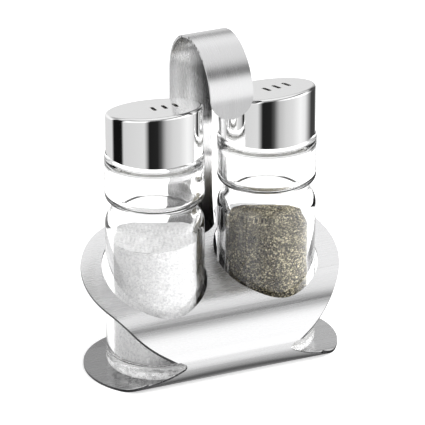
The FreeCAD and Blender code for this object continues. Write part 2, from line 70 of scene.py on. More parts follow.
right = mathutils.Vector((math.cos(TURN), -math.sin(TURN), 0))
level = mathutils.Vector((math.sin(TURN), math.cos(TURN), 0))
up = mathutils.Vector((0, 0, 1))
forward = level * math.cos(ELEVATION) - up * math.sin(ELEVATION)
camera_up = level * math.sin(ELEVATION) + up * math.cos(ELEVATION)

camera_data = bpy.data.cameras.new("camera")
camera_data.angle = FIELD_OF_VIEW
camera = bpy.data.objects.new("camera", camera_data)
aim = right * AIM_ASIDE + camera_up * AIM_UP
turned = mathutils.Matrix((right, camera_up, -forward)).transposed().to_4x4()
camera.matrix_world = mathutils.Matrix.Translation(aim - forward * DISTANCE) @ turned
bpy.context.collection.objects.link(camera)
bpy.context.scene.camera = camera
bpy.context.scene.view_settings.view_transform = "Standard"
print("camera at", [round(v, 3) for v in camera.location])

# %% [markdown]
# ## Small helpers for node trees
# A shader is a graph of nodes, and each node does one small thing, such as a sum or a ramp. Written
# out, every node takes a line to place it and one for each thing that feeds it. These helpers do both
# in one line, so that each material below reads from its first pattern to its last.


# %% Adding and joining nodes
def add(tree, kind, feeds=None, **settings):
    """Add a node, set its properties, and feed its inputs with plain values or with other nodes' outputs."""
    node = tree.nodes.new(kind)
    for name, value in settings.items():
        setattr(node, name, value)
    for name, value in (feeds or {}).items():
        if isinstance(value, bpy.types.NodeSocket):
            tree.links.new(value, node.inputs[name])
        else:
            node.inputs[name].default_value = value
    return node


def calculate(tree, operation, first, second=0.0, third=0.0):
    """One sum or comparison of two or three values."""
    return add(tree, "ShaderNodeMath", {0: first, 1: second, 2: third}, operation=operation).outputs[0]


def parts_of(tree, vector):
    """The x, y and z of a vector."""
    return add(tree, "ShaderNodeSeparateXYZ", {0: vector}).outputs


def scaled(tree, vector, factor):
    """A vector or a colour times one number."""
    return add(tree, "ShaderNodeVectorMath", {0: vector, "Scale": factor}, operation="SCALE").outputs[0]


def stretched(tree, vector, factors):
    """A vector times three numbers, one for each axis."""
    return add(tree, "ShaderNodeVectorMath", {0: vector, 1: factors}, operation="MULTIPLY").outputs[0]


print("helpers:", ", ".join(helper.__name__ for helper in (add, calculate, parts_of, scaled, stretched)))

# %% [markdown]
# ## Helpers for shades and colours
# A ramp turns a number into a grey or a colour, and a mix lays one colour over another where a share
# says so. Nearly every pattern below is one of these two, so both get a helper that takes plain numbers
# and nodes alike.

# %% Shades and colours
WHITE = (1.0, 1.0, 1.0)


def ramp(tree, value, stops):
    """A colour ramp from pairs of a place between 0 and 1 and a grey or a colour."""
    node = add(tree, "ShaderNodeValToRGB", {0: value})
    elements = node.color_ramp.elements
    while len(elements) < len(stops):
        elements.new(0.5)
    for element, (place, shade) in zip(elements, stops):
        element.position = place
        element.color = (shade, shade, shade, 1) if isinstance(shade, float) else (*shade, 1)
    return node.outputs["Color"]


def mix_colour(tree, share, first, second, blend="MIX"):
    """Two colours mixed by a share."""
    node = add(tree, "ShaderNodeMix", data_type="RGBA", blend_type=blend)
    for socket, value in ((node.inputs[0], share), (node.inputs[6], first), (node.inputs[7], second)):
        if isinstance(value, bpy.types.NodeSocket):
            tree.links.new(value, socket)
        elif isinstance(value, tuple):
            socket.default_value = (*value, 1)
        else:
            socket.default_value = value
    return node.outputs[2]


def multiplied(tree, colour, shade):
    """A colour times a shade, channel by channel."""
    return mix_colour(tree, 1.0, colour, shade, blend="MULTIPLY")


print("helpers:", ", ".join(helper.__name__ for helper in (ramp, mix_colour, multiplied)))

# %% [markdown]
# ## A studio of bright walls and dark gaps
# Polished metal has no colour of its own: it shows the room. In the photograph the caps carry sharp
# dark stripes between bright fields, which is a white tent with gaps in its walls. Real panels would
# make the same stripes, but they would also change the plain light on the set. So the tent is a
# brightness for each direction of the world, and only reflections and glass see it. These tables hold
# it in degrees: round the set by bearing, where 0 is the camera and its right is positive, and from
# straight down to straight up by height.

# %% The tent's brightness, by degrees
# Each pair is a place in degrees and a share of white. The gain then lifts them all.
TENT_GAIN = 1.25
STRIPES = (
    (-180, 0.70), (-150, 0.85), (-118, 0.85), (-110, 0.008), (-82, 0.008), (-76, 0.74), (-22, 0.82),
    (-11, 0.015), (9, 0.02), (17, 0.10), (30, 0.58), (46, 0.76), (64, 0.84), (86, 1.08), (102, 0.95),
    (116, 0.40), (128, 0.06), (152, 0.06), (168, 0.50), (180, 0.70))
STRIPES_END = ((-90, 0.0), (18, 0.0), (30, 1.0), (90, 1.0))
FRONT_BEARINGS = ((-180, 0.0), (-130, 0.0), (-80, 1.0), (115, 1.0), (150, 0.0), (180, 0.0))
FRONT_HEIGHTS = (
    (-90, 0.15), (-64, 0.18), (-52, 0.50), (-42, 0.74), (-20, 0.74), (-10, 1.36), (20, 1.32), (27, 0.80),
    (30, 0.46), (33, 0.14), (43, 0.10), (48, 0.30), (54, 0.62), (62, 0.76), (90, 0.76))
BACK_HEIGHTS = (
    (-90, 0.15), (-60, 0.20), (-45, 0.45), (-30, 0.62), (-5, 0.95), (8, 0.95), (20, 0.38), (26, 0.36),
    (34, 0.75), (50, 0.92), (65, 0.76), (90, 0.76))
print("stops round the tent:", len(STRIPES))
print("stops up the tent:", len(FRONT_HEIGHTS), "in front and", len(BACK_HEIGHTS), "behind")

# %% [markdown]
# ## The tent as a node group
# A group is a small tree that other trees use like one node. This one takes a direction and gives the
# tent's colour there. The bearing comes from the direction's x and y, and the height from its z. The
# stripes stand on the walls only, and above 30 degrees the tent is plain.

# %% Directions as places on a ramp
CAMERA_BEARING = math.atan2(-math.cos(TURN), -math.sin(TURN))


def bearing_place(tree, direction):
    """The arc tangent of y over x, counted from the camera's bearing, as a share of a full turn."""
    x, y, _ = parts_of(tree, direction)
    angle = calculate(tree, "SUBTRACT", calculate(tree, "ARCTAN2", y, x), CAMERA_BEARING)
    angle = calculate(tree, "WRAP", angle, math.pi, -math.pi)
    return calculate(tree, "MULTIPLY_ADD", angle, 1 / (2 * math.pi), 0.5)


def height_place(tree, direction):
    """The arc sine of a unit direction's z, as a share of the way from straight down to straight up."""
    angle = calculate(tree, "ARCSINE", parts_of(tree, direction)[2])
    return calculate(tree, "MULTIPLY_ADD", angle, 1 / math.pi, 0.5)


def by_bearing(tree, place, stops):
    """A ramp round the full turn, with its stops in degrees."""
    return ramp(tree, place, [((degrees + 180) / 360, shade) for degrees, shade in stops])


def by_height(tree, place, stops):
    """A ramp over all heights, with its stops in degrees."""
    return ramp(tree, place, [((degrees + 90) / 180, shade) for degrees, shade in stops])


print("camera's bearing:", round(math.degrees(CAMERA_BEARING), 1), "degrees")


# %% Studio group
def make_studio_group():
    """The stripes by bearing, plain above the walls, times the brightness by height in front and behind."""
    group = bpy.data.node_groups.new("studio_tent", "ShaderNodeTree")
    group.interface.new_socket("Direction", in_out="INPUT", socket_type="NodeSocketVector")
    group.interface.new_socket("Colour", in_out="OUTPUT", socket_type="NodeSocketColor")
    direction = group.nodes.new("NodeGroupInput").outputs[0]
    unit = add(group, "ShaderNodeVectorMath", {0: direction}, operation="NORMALIZE").outputs[0]
    bearing = bearing_place(group, direction)
    height = height_place(group, unit)
    stripes = by_bearing(group, bearing, STRIPES)
    walls = mix_colour(group, by_height(group, height, STRIPES_END), stripes, WHITE)
    in_front = by_bearing(group, bearing, FRONT_BEARINGS)
    behind = by_height(group, height, BACK_HEIGHTS)
    levels = mix_colour(group, in_front, behind, by_height(group, height, FRONT_HEIGHTS))
    shown = scaled(group, multiplied(group, walls, levels), TENT_GAIN)
    end = group.nodes.new("NodeGroupOutput")
    group.links.new(shown, end.inputs[0])
    return group


STUDIO = make_studio_group()
print(STUDIO.name, "has", len(STUDIO.nodes), "nodes")

# %% [markdown]
# ## The world
# The world answers each kind of ray with its own colour. The camera sees plain white, as behind the set
# in the photograph. Steel and glass see the tent, and glass sees it paler, because a jar bends rays
# through several walls and would show every dark gap many times. All other rays get a soft light that
# is stronger from above and from the camera's right.

# %% World
SOFT_HEIGHTS = ((-90, 0.42), (0, 0.46), (25, 0.76), (90, 0.82))
SOFT_LEVEL = 0.95
SOFT_FROM_RIGHT = 0.35
GLASS_LIGHTENED = 0.55


def make_world():
    """White for the camera, the tent for reflections and glass, and soft light for the rest."""
    world = bpy.data.worlds.new("studio")
    world.use_nodes = True
    tree = world.node_tree
    tree.nodes.clear()
    ray = tree.nodes.new("ShaderNodeLightPath").outputs
    direction = tree.nodes.new("ShaderNodeTexCoord").outputs["Generated"]
    tent = add(tree, "ShaderNodeGroup", {"Direction": direction}, node_tree=STUDIO)
    to_right = add(tree, "ShaderNodeVectorMath", {0: direction, 1: tuple(right)}, operation="DOT_PRODUCT")
    to_right = calculate(tree, "MULTIPLY_ADD", to_right.outputs["Value"], SOFT_FROM_RIGHT, SOFT_LEVEL)
    soft = scaled(tree, by_height(tree, height_place(tree, direction), SOFT_HEIGHTS), to_right)
    in_glass = calculate(tree, "MULTIPLY", ray["Is Transmission Ray"], GLASS_LIGHTENED)
    walls = mix_colour(tree, in_glass, tent.outputs["Colour"], WHITE)
    sees_tent = calculate(tree, "MAXIMUM", ray["Is Glossy Ray"], ray["Is Transmission Ray"])
    colour = mix_colour(tree, sees_tent, soft, walls)
    colour = mix_colour(tree, ray["Is Camera Ray"], colour, WHITE)
    background = add(tree, "ShaderNodeBackground", {"Color": colour, "Strength": 1.0})
    add(tree, "ShaderNodeOutputWorld", {"Surface": background.outputs[0]})
    return world


bpy.context.scene.world = make_world()
print("world:", bpy.context.scene.world.name)

# %% [markdown]
# ## The lamp
# One large soft lamp stands to the camera's right and well above the set. It gives the salt and the
# pepper their round shape and the set its soft shadow. The steel and the glass don't see it, since they
# already see the tent.

# %% Lamp
LAMP_WATTS = 11.0
LAMP_SIZE = 0.7
LAMP_BEARING = math.radians(64)
LAMP_DISTANCE = 0.92
LAMP_HEIGHT = 0.80
LAMP_AIM = mathutils.Vector((0, 0, 0.06))

lamp_data = bpy.data.lights.new("soft_lamp", "AREA")
lamp_data.energy = LAMP_WATTS
lamp_data.size = LAMP_SIZE
lamp = bpy.data.objects.new("soft_lamp", lamp_data)
lamp_way = right * math.sin(LAMP_BEARING) - level * math.cos(LAMP_BEARING)
lamp.location = lamp_way * LAMP_DISTANCE + up * LAMP_HEIGHT
lamp.rotation_euler = (LAMP_AIM - lamp.location).to_track_quat("-Z", "Y").to_euler()
lamp.visible_glossy = False
lamp.visible_transmission = False
bpy.context.collection.objects.link(lamp)
print("lamp at", [round(v, 3) for v in lamp.location])

# %% [markdown]
# ## Meshes and materials from plain values
# Every new piece below is an array of points and a list of faces, and every finish starts from one
# Principled shader. A value that is the same all over the surface sits on the shader's own socket.


# %% Mesh and material helpers
def mesh_object(name, points, faces, smooth=True):
    """A mesh from an array of points and a list of faces, with its object at the origin."""
    mesh = bpy.data.meshes.new(name)
    mesh.from_pydata(points.tolist(), [], faces)
    mesh.polygons.foreach_set("use_smooth", np.full(len(mesh.polygons), smooth))
    mesh.update()
    piece = bpy.data.objects.new(name, mesh)
    bpy.context.collection.objects.link(piece)
    return piece


def new_material(name, **values):
    """A material with one Principled shader whose fixed values sit on its own sockets."""
    material = bpy.data.materials.new(name)
    material.use_nodes = True
    tree = material.node_tree
    shader = tree.nodes["Principled BSDF"]
    for socket, value in values.items():
        shader.inputs[socket.replace("_", " ")].default_value = value
    return material, tree, shader


print("helpers:", ", ".join(helper.__name__ for helper in (mesh_object, new_material)))

# %% [markdown]
# ## The floor
# The set stands on a pale table whose edge doesn't show. More lamps could make it as white as the
# photograph's, but they would wash out the set as well. So the floor glows a little, only for the
# camera and for the rays that reach it through glass, and it still takes the soft shadow.

# %% Floor
FLOOR_REACH = 4.0
FLOOR_GLOW = 0.50
FLOOR_GLOW_IN_GLASS = 0.75


def make_floor():
    """A square on the table plane, with its corners at plus and minus its reach."""
    points = np.array([(-1, -1, 0), (1, -1, 0), (1, 1, 0), (-1, 1, 0)]) * FLOOR_REACH
    floor = mesh_object("floor", points, [(0, 1, 2, 3)], smooth=False)
    material, tree, shader = new_material(
        "pale_floor", Base_Color=(0.93, 0.93, 0.93, 1), Emission_Color=(1, 1, 1, 1), Roughness=0.9,
        Specular_IOR_Level=0.1)
    ray = tree.nodes.new("ShaderNodeLightPath").outputs
    glow = calculate(tree, "MULTIPLY", ray["Is Camera Ray"], FLOOR_GLOW)
    glow = calculate(tree, "MULTIPLY_ADD", ray["Is Transmission Ray"], FLOOR_GLOW_IN_GLASS, glow)
    tree.links.new(glow, shader.inputs["Emission Strength"])
    floor.data.materials.append(material)
    floor.visible_glossy = False
    return floor


print(make_floor().name, "is", 2 * FLOOR_REACH, "m wide")

# %% [markdown]
# ## The painted shade of the table that the steel mirrors
# The front wall and its low bend mirror the table close to the set, where it lies in shadow, and
# farther off, where it is bright. The floor itself is too even to show that in the steel, so
# reflections see a disc just above it in its place: a painted shadow near the set and painted light
# farther off. The disc is dark close to the front of the set, grows bright a little farther off and
# fades out.

# %% Painted table shade
# The depth and the greys follow the distance from the middle, as a share of the disc's reach in metres.
TABLE_REACH = 0.125
TABLE_SIDES = 120
TABLE_ABOVE_FLOOR = 0.0002
TABLE_OVAL = (0.35, 1.0, 0)
TABLE_DEPTH = ((0.0, 1.0), (0.38, 1.0), (0.60, 0.0), (1.0, 0.0))
# painted shadow close to the set, and painted light farther off that rises above white at the rim
TABLE_GREYS = (
    (0.0, 0.45), (0.17, 0.45), (0.195, 0.25), (0.207, 0.12), (0.222, 0.08), (0.236, 0.30), (0.256, 0.42),
    (0.28, 0.54), (0.32, 0.78), (0.38, 0.98), (1.0, 1.1))


def make_painted_table_shade():
    """A clear glow of painted shade and light, whose grey and depth follow the distance from the middle,
    measured in an oval.
    """
    material = bpy.data.materials.new("painted_table_shade")
    material.use_nodes = True
    tree = material.node_tree
    tree.nodes.clear()
    place = tree.nodes.new("ShaderNodeTexCoord").outputs["Object"]
    oval = stretched(tree, place, TABLE_OVAL)
    reach = add(tree, "ShaderNodeVectorMath", {0: oval}, operation="LENGTH").outputs["Value"]
    reach = calculate(tree, "DIVIDE", reach, TABLE_REACH)
    dim = add(tree, "ShaderNodeEmission", {"Color": ramp(tree, reach, TABLE_GREYS), "Strength": 1.0})
    clear = add(tree, "ShaderNodeBsdfTransparent")
    depth = ramp(tree, reach, TABLE_DEPTH)
    both = add(tree, "ShaderNodeMixShader", {0: depth, 1: clear.outputs[0], 2: dim.outputs[0]})
    add(tree, "ShaderNodeOutputMaterial", {"Surface": both.outputs[0]})
    return material


def make_contact_shade():
    """A disc of painted shade, radius times cosine and sine, that only reflections see."""
    around = np.linspace(0, 2 * math.pi, TABLE_SIDES + 1)[:-1]
    height = np.full(TABLE_SIDES, TABLE_ABOVE_FLOOR)
    points = np.stack([np.cos(around) * TABLE_REACH, np.sin(around) * TABLE_REACH, height], axis=1)
    shade = mesh_object("contact_shade", points, [tuple(range(TABLE_SIDES))], smooth=False)
    shade.data.materials.append(make_painted_table_shade())
    shade.visible_camera = False
    shade.visible_diffuse = False
    shade.visible_transmission = False
    shade.visible_shadow = False
    return shade


print(make_contact_shade().name, "is", 2 * TABLE_REACH, "m across")

# %% [markdown]
# ## Brushed steel
# The holder is brushed sheet, and the cap tops are satin. Such scratches could be cut as grooves, but
# they are far finer than a pixel. Here they are noise that is stretched a great deal in one direction,
# and a second, broader noise makes the long soft streaks. The pattern tints the steel, changes its
# roughness and lifts its surface a little. Both steels use it, so it is one group with values of its
# own in each.

# %% Scratch pattern shared by the steels
# The scale of the broad noise as a share of the fine one's
BROAD_STREAKS = 0.12


def make_scratch_group():
    """Stretched noise as a tint, a roughness and a height. The vector that comes in is already stretched."""
    group = bpy.data.node_groups.new("brushed_scratches", "ShaderNodeTree")
    group.interface.new_socket("Vector", in_out="INPUT", socket_type="NodeSocketVector")
    for name in ("Tint Depth", "Roughness", "Roughness Depth"):
        group.interface.new_socket(name, in_out="INPUT", socket_type="NodeSocketFloat")
    for name in ("Tint", "Roughness", "Height"):
        group.interface.new_socket(name, in_out="OUTPUT", socket_type="NodeSocketFloat")
    start = group.nodes.new("NodeGroupInput")
    vector, tint_depth, rough, rough_depth = start.outputs[0:4]
    fine = add(group, "ShaderNodeTexNoise", {"Vector": vector, "Scale": 1.0, "Detail": 3.0, "Roughness": 0.6})
    broad_vector = scaled(group, vector, BROAD_STREAKS)
    broad = add(group, "ShaderNodeTexNoise", {"Vector": broad_vector, "Scale": 1.0, "Detail": 2.0})
    both = calculate(group, "ADD", fine.outputs[0], broad.outputs[0])
    centred = calculate(group, "SUBTRACT", both, 1.0)
    tint = calculate(group, "MULTIPLY_ADD", centred, tint_depth, 1.0)
    roughness = calculate(group, "MULTIPLY_ADD", centred, rough_depth, rough)
    end = group.nodes.new("NodeGroupOutput")
    for socket, value in zip(end.inputs, (tint, roughness, fine.outputs[0])):
        group.links.new(value, socket)
    return group


SCRATCHES = make_scratch_group()


def scratch(tree, vector, tint_depth, roughness, rough_depth):
    """Place the scratch pattern in a material with its own values."""
    return add(tree, "ShaderNodeGroup", {
        "Vector": vector, "Tint Depth": tint_depth, "Roughness": roughness, "Roughness Depth": rough_depth,
    }, node_tree=SCRATCHES).outputs


print(SCRATCHES.name, "has", len(SCRATCHES.nodes), "nodes")

# %% [markdown]
# ## Which way the holder is brushed
# On the base, the front wall and the cradle the scratches run along the row of shakers, and on the
# carrying strip they run lengthwise. The holder is one mesh, so its material finds the strip by place:
# all that is high up, and lower down what lies far back and is under the cradle or near the middle.

# %% The carrying strip and the direction of its scratches
# Where the strip is, in metres, and the noise's cells for each metre across and along the scratches
STRIP_ABOVE = 0.056
STRIP_BEHIND = 0.0197
BELOW_CRADLE = 0.047
BESIDE_NOTCH = 0.0106
ACROSS_PER_METRE = 2600
ALONG_PER_METRE = 90


def find_strip(tree, x, y, z):
    """1 on the strip, else 0: above the cradle, or far back and either below it or near the middle."""
    near_middle = calculate(tree, "LESS_THAN", calculate(tree, "ABSOLUTE", x), BESIDE_NOTCH)
    lower = calculate(tree, "MAXIMUM", calculate(tree, "LESS_THAN", z, BELOW_CRADLE), near_middle)
    lower = calculate(tree, "MULTIPLY", lower, calculate(tree, "GREATER_THAN", y, STRIP_BEHIND))
    return calculate(tree, "MAXIMUM", calculate(tree, "GREATER_THAN", z, STRIP_ABOVE), lower)


def brushed_place(tree, place, on_strip):
    """The place times few cells a metre along the scratches and many across them."""
    along_row = stretched(tree, place, (ALONG_PER_METRE, ACROSS_PER_METRE, ACROSS_PER_METRE))
    lengthwise = stretched(tree, place, (ACROSS_PER_METRE, ALONG_PER_METRE, ALONG_PER_METRE))
    either = add(tree, "ShaderNodeMix", {0: on_strip, 4: along_row, 5: lengthwise}, data_type="VECTOR")
    return either.outputs[1]


print("one scratch is about", round(ACROSS_PER_METRE / ALONG_PER_METRE), "times as long as it is wide")

# %% [markdown]
# ## Shade inside the loop and low on the strip
# In the photograph the strip's front face is nearly black between the jars, where both stand in its
# light, and the inside of the loop darkens to one side and towards its crown. The plain studio leaves
# these places too bright. Darker fields in the tent would show on the caps too, so the shade is painted
# into the steel's colour, on that face alone.

# %% Shade on the strip
# Sizes and heights above the table in metres, and shades by a share of them
SHADE_RISE = 0.100
STRIP_WIDTH = 0.0182
CAP_LEVEL = 0.092
LOOP_CENTRE = 0.1191
LOOP_INSIDE = 0.0202
SHADE_BY_LEVEL = (
    (0.0, 0.60), (0.28, 0.45), (0.42, 0.09), (0.54, 0.14), (0.62, 0.28), (0.69, 0.62), (0.77, 1.0),
    (1.0, 1.0))
# across the strip above the caps: painted light above 1 on its left part and painted shade on its right
SHADE_ACROSS = ((0.0, 0.95), (0.2, 1.45), (0.45, 1.40), (0.65, 0.6), (0.8, 0.25), (1.0, 0.08))
SHADE_ABOVE_CAPS = ((0.0, 0.0), (0.2, 1.0), (1.0, 1.0))
SHADE_AT_CROWN = ((0.0, 1.0), (0.55, 0.85), (0.8, 0.35), (1.0, 0.12))


def find_inner_face(tree, y, above_centre, normal):
    """1 where y times the normal's y, plus the height times its z, is negative: it points back inwards."""
    _, normal_y, normal_z = parts_of(tree, normal)
    upward = calculate(tree, "MULTIPLY", above_centre, normal_z)
    outward = calculate(tree, "MULTIPLY_ADD", y, normal_y, upward)
    return calculate(tree, "LESS_THAN", outward, 0.0)


def strip_shade(tree, x, z, above_centre):
    """Three shades multiplied: by level, across the strip where it is above the caps, and up to the crown."""
    by_level = ramp(tree, calculate(tree, "DIVIDE", z, SHADE_RISE), SHADE_BY_LEVEL)
    across = ramp(tree, calculate(tree, "MULTIPLY_ADD", x, 1 / STRIP_WIDTH, 0.5), SHADE_ACROSS)
    over_caps = calculate(tree, "DIVIDE", calculate(tree, "SUBTRACT", z, CAP_LEVEL), LOOP_INSIDE)
    across = mix_colour(tree, ramp(tree, over_caps, SHADE_ABOVE_CAPS), WHITE, across)
    at_crown = ramp(tree, calculate(tree, "DIVIDE", above_centre, LOOP_INSIDE), SHADE_AT_CROWN)
    return multiplied(tree, multiplied(tree, by_level, across), at_crown)


def shade_strip(tree, steel, place, normal, on_strip):
    """The steel, darkened on the strip's inner face."""
    x, y, z = parts_of(tree, place)
    above_centre = calculate(tree, "MAXIMUM", calculate(tree, "SUBTRACT", z, LOOP_CENTRE), 0.0)
    inner = calculate(tree, "MULTIPLY", find_inner_face(tree, y, above_centre, normal), on_strip)
    dimmed = multiplied(tree, steel, strip_shade(tree, x, z, above_centre))
    return mix_colour(tree, inner, steel, dimmed)


print("the strip is darkest", round(SHADE_RISE * SHADE_BY_LEVEL[2][0] * 1000), "mm above the table")

# %% [markdown]
# ## The base and the cut edges
# The flat base lies in the shade of the cradle and the jars, more so on the left. The sheet's cut
# edges are darker than its faces. The base is found by its height above the table, and a cut edge by
# its normal, which turns to the left or to the right.

# %% Shade on the base and the edges
# The base in metres, and how far a cut edge's normal turns to a side, as a share of its length
BASE_TOP = 0.0012
HOLDER_WIDTH = 0.110
BASE_SHADE = ((0.0, 0.50), (0.4, 0.50), (0.8, 0.80), (1.0, 0.82))
EDGE_TURNED = 0.25
EDGE_COLOUR = (0.16, 0.16, 0.165)


def shade_base(tree, steel, x, z):
    """The steel, darkened on the flat base by how far along the row it is."""
    on_base = calculate(tree, "LESS_THAN", z, BASE_TOP)
    along = calculate(tree, "MULTIPLY_ADD", x, 1 / HOLDER_WIDTH, 0.5)
    return mix_colour(tree, on_base, steel, multiplied(tree, steel, ramp(tree, along, BASE_SHADE)))


def darken_edges(tree, steel, normal, on_strip):
    """The steel, dark where its normal turns to the left or right, but not on the strip."""
    sideways = calculate(tree, "ABSOLUTE", parts_of(tree, normal)[0])
    cut_edge = calculate(tree, "GREATER_THAN", sideways, EDGE_TURNED)
    cut_edge = calculate(tree, "MULTIPLY", cut_edge, calculate(tree, "SUBTRACT", 1.0, on_strip))
    return mix_colour(tree, cut_edge, steel, EDGE_COLOUR)


print("edges are turned by more than", round(math.degrees(math.asin(EDGE_TURNED))), "degrees")

# %% [markdown]
# ## The crown of the front wall
# A pressed wall is never quite flat: between its two bends it keeps a slight crown, which spreads what
# it mirrors. One millimetre of bump does that without a change to the engineering model.

# %% Crown and scratches as bumps
# The wall is all that is in front of this y, in metres, as the other sizes are
WALL_IN_FRONT_OF = -0.012
WALL_MIDDLE = 0.0238
WALL_CROWN_WIDTH = 0.007
WALL_CROWN = 0.0010
SCRATCH_STRENGTH = 0.10
SCRATCH_DEPTH = 0.00004


def wall_crown(tree, y, z):
    """On the front wall, e to the power of minus the square of the way from its middle, in crown widths."""
    way = calculate(tree, "DIVIDE", calculate(tree, "SUBTRACT", z, WALL_MIDDLE), WALL_CROWN_WIDTH)
    square = calculate(tree, "MULTIPLY", way, way)
    crown = calculate(tree, "EXPONENT", calculate(tree, "MULTIPLY", square, -1.0))
    return calculate(tree, "MULTIPLY", crown, calculate(tree, "LESS_THAN", y, WALL_IN_FRONT_OF))


def holder_bumps(tree, y, z, scratches):
    """The wall's crown first, and the scratches on top of it."""
    crown = wall_crown(tree, y, z)
    crowned = add(tree, "ShaderNodeBump", {"Height": crown, "Strength": 1.0, "Distance": WALL_CROWN})
    scratched = add(tree, "ShaderNodeBump", {"Height": scratches, "Normal": crowned.outputs[0],
                                             "Strength": SCRATCH_STRENGTH, "Distance": SCRATCH_DEPTH})
    return scratched.outputs[0]


print("the crown stands", WALL_CROWN * 1000, "mm out")

# %% [markdown]
# ## The holder's steel
# All the parts above come together here: scratches for the tint, the roughness and the bump, a slightly
# darker strip, and then the shades and the dark edges over it. The holder's own mesh is left as the
# engineering model made it, and only its material is new.

# %% The holder's steel
SHEET_COLOUR = (0.86, 0.86, 0.865)
STRIP_COLOUR = (0.75, 0.75, 0.755)


def dress(node_name, material):
    """Give a piece of the engineering model its finish."""
    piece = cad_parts[node_name]
    piece.data.materials.clear()
    piece.data.materials.append(material)
    print(node_name, "is now", material.name)


def make_holder_steel():
    """Brushed steel with scratches along the row, but lengthwise on the strip."""
    material, tree, shader = new_material("brushed_sheet", Metallic=1.0)
    coordinates = tree.nodes.new("ShaderNodeTexCoord").outputs
    place, normal = coordinates["Object"], coordinates["Normal"]
    x, y, z = parts_of(tree, place)
    on_strip = find_strip(tree, x, y, z)
    brushed = brushed_place(tree, place, on_strip)
    lines = scratch(tree, brushed, tint_depth=0.08, roughness=0.27, rough_depth=0.06)
    steel = mix_colour(tree, on_strip, SHEET_COLOUR, STRIP_COLOUR)
    steel = multiplied(tree, steel, lines["Tint"])
    steel = shade_strip(tree, steel, place, normal, on_strip)
    steel = shade_base(tree, steel, x, z)
    steel = darken_edges(tree, steel, normal, on_strip)
    tree.links.new(steel, shader.inputs["Base Color"])
    tree.links.new(lines["Roughness"], shader.inputs["Roughness"])
    tree.links.new(holder_bumps(tree, y, z, lines["Height"]), shader.inputs["Normal"])
    return material


dress("holder", make_holder_steel())

# %% [markdown]
# ## The caps
# Each cap is one steel shell. Its side is polished, so it mirrors the tent's stripes. Its slanted top
# is satin, so it shows only soft light. Two materials on two sets of faces would leave a hard line
# between them, so one material tells them apart by the surface normal: a top faces up, and a side
# doesn't.

# %% Cap steel
# How satin a face is, by how far its normal points up
SATIN_FACES = ((0.0, 0.0), (0.80, 0.0), (0.93, 1.0), (1.0, 1.0))
SATIN_SCRATCHES = (60, 2200, 2200)
SATIN_COLOUR = (0.83, 0.83, 0.83)
POLISHED_COLOUR = (0.93, 0.93, 0.93)
POLISHED_ROUGHNESS = 0.035
POLISHED_CLOUDS = 0.05


def make_cap_steel():
    """Polished on the side, satin with fine scratches on the top."""
    material, tree, shader = new_material("cap_steel", Metallic=1.0)
    coordinates = tree.nodes.new("ShaderNodeTexCoord").outputs
    place = coordinates["Object"]
    on_top = ramp(tree, parts_of(tree, coordinates["Normal"])[2], SATIN_FACES)
    brushed = stretched(tree, place, SATIN_SCRATCHES)
    lines = scratch(tree, brushed, tint_depth=0.06, roughness=0.15, rough_depth=0.06)
    clouds = add(tree, "ShaderNodeTexNoise", {"Vector": place, "Scale": 90.0}).outputs[0]
    polished = calculate(tree, "MULTIPLY_ADD", clouds, POLISHED_CLOUDS, POLISHED_ROUGHNESS)
    rough = add(tree, "ShaderNodeMix", {0: on_top, 2: polished, 3: lines["Roughness"]}, data_type="FLOAT")
    tree.links.new(rough.outputs[0], shader.inputs["Roughness"])
    satin = multiplied(tree, SATIN_COLOUR, lines["Tint"])
    tree.links.new(mix_colour(tree, on_top, POLISHED_COLOUR, satin), shader.inputs["Base Color"])
    return material


cap_steel = make_cap_steel()
for flavour in ("salt", "pepper"):
    dress(flavour + "_cap_shell", cap_steel)

# %% [markdown]
# ## Inserts and seal rings
# The sleeve inside each cap is moulded plastic, and the ring under it is soft rubber. Both have the
# fine, even skin of their mould, which is noise of a small size in the colour, the roughness and the
# bump.

# %% Inserts and seals
PALER_SKIN = 1.06
SKIN_ROUGHENED = 0.15


def make_moulded(name, colour, roughness, grain):
    """Plain moulded plastic or rubber with a fine skin."""
    material, tree, shader = new_material(name)
    place = tree.nodes.new("ShaderNodeTexCoord").outputs["Object"]
    noise = add(tree, "ShaderNodeTexNoise", {"Vector": place, "Scale": grain, "Detail": 4.0}).outputs[0]
    pale = tuple(min(1.0, part * PALER_SKIN) for part in colour)
    tree.links.new(mix_colour(tree, noise, colour, pale), shader.inputs["Base Color"])
    rough = calculate(tree, "MULTIPLY_ADD", noise, SKIN_ROUGHENED, roughness)
    tree.links.new(rough, shader.inputs["Roughness"])
    bump = add(tree, "ShaderNodeBump", {"Height": noise, "Strength": 0.15, "Distance": 0.0001})
    tree.links.new(bump.outputs[0], shader.inputs["Normal"])
    return material


insert_plastic = make_moulded("insert_plastic", (0.78, 0.78, 0.76), roughness=0.35, grain=700.0)
seal_rubber = make_moulded("seal_rubber", (0.80, 0.80, 0.77), roughness=0.55, grain=1200.0)
for flavour in ("salt", "pepper"):
    dress(flavour + "_cap_insert", insert_plastic)
    dress(flavour + "_seal_ring", seal_rubber)

# %% [markdown]
# ## Glass
# The jars are thick clear glass with a smooth fire-polished skin that waves very slightly. Lamps and
# the plain room light have to reach the salt inside, so for shadows and for soft bounced light the wall
# is clear. The foot keeps the mottled matt skin of its mould, so a little matt white is mixed in there,
# and a faint painted glow stands in for the light that the base sheet throws back up.

# %% Jar glass
# Sizes in metres, and the foot's share by a share of its height
CLEAR_GLASS = (0.97, 0.97, 0.97, 1)
WAVE_DEPTH = 0.0006
FOOT_HEIGHT = 0.0062
# painted light: the glow that stands in for light thrown up from the base sheet
FOOT_PAINTED_GLOW = 0.42
FOOT_SHARE = ((0.0, 0.75), (0.80, 0.70), (0.97, 0.0), (1.0, 0.0))
FOOT_MOTTLE = ((0.0, 0.10), (0.42, 0.25), (0.56, 1.0), (1.0, 1.0))
FOOT_COLOUR = (0.92, 0.92, 0.92, 1)


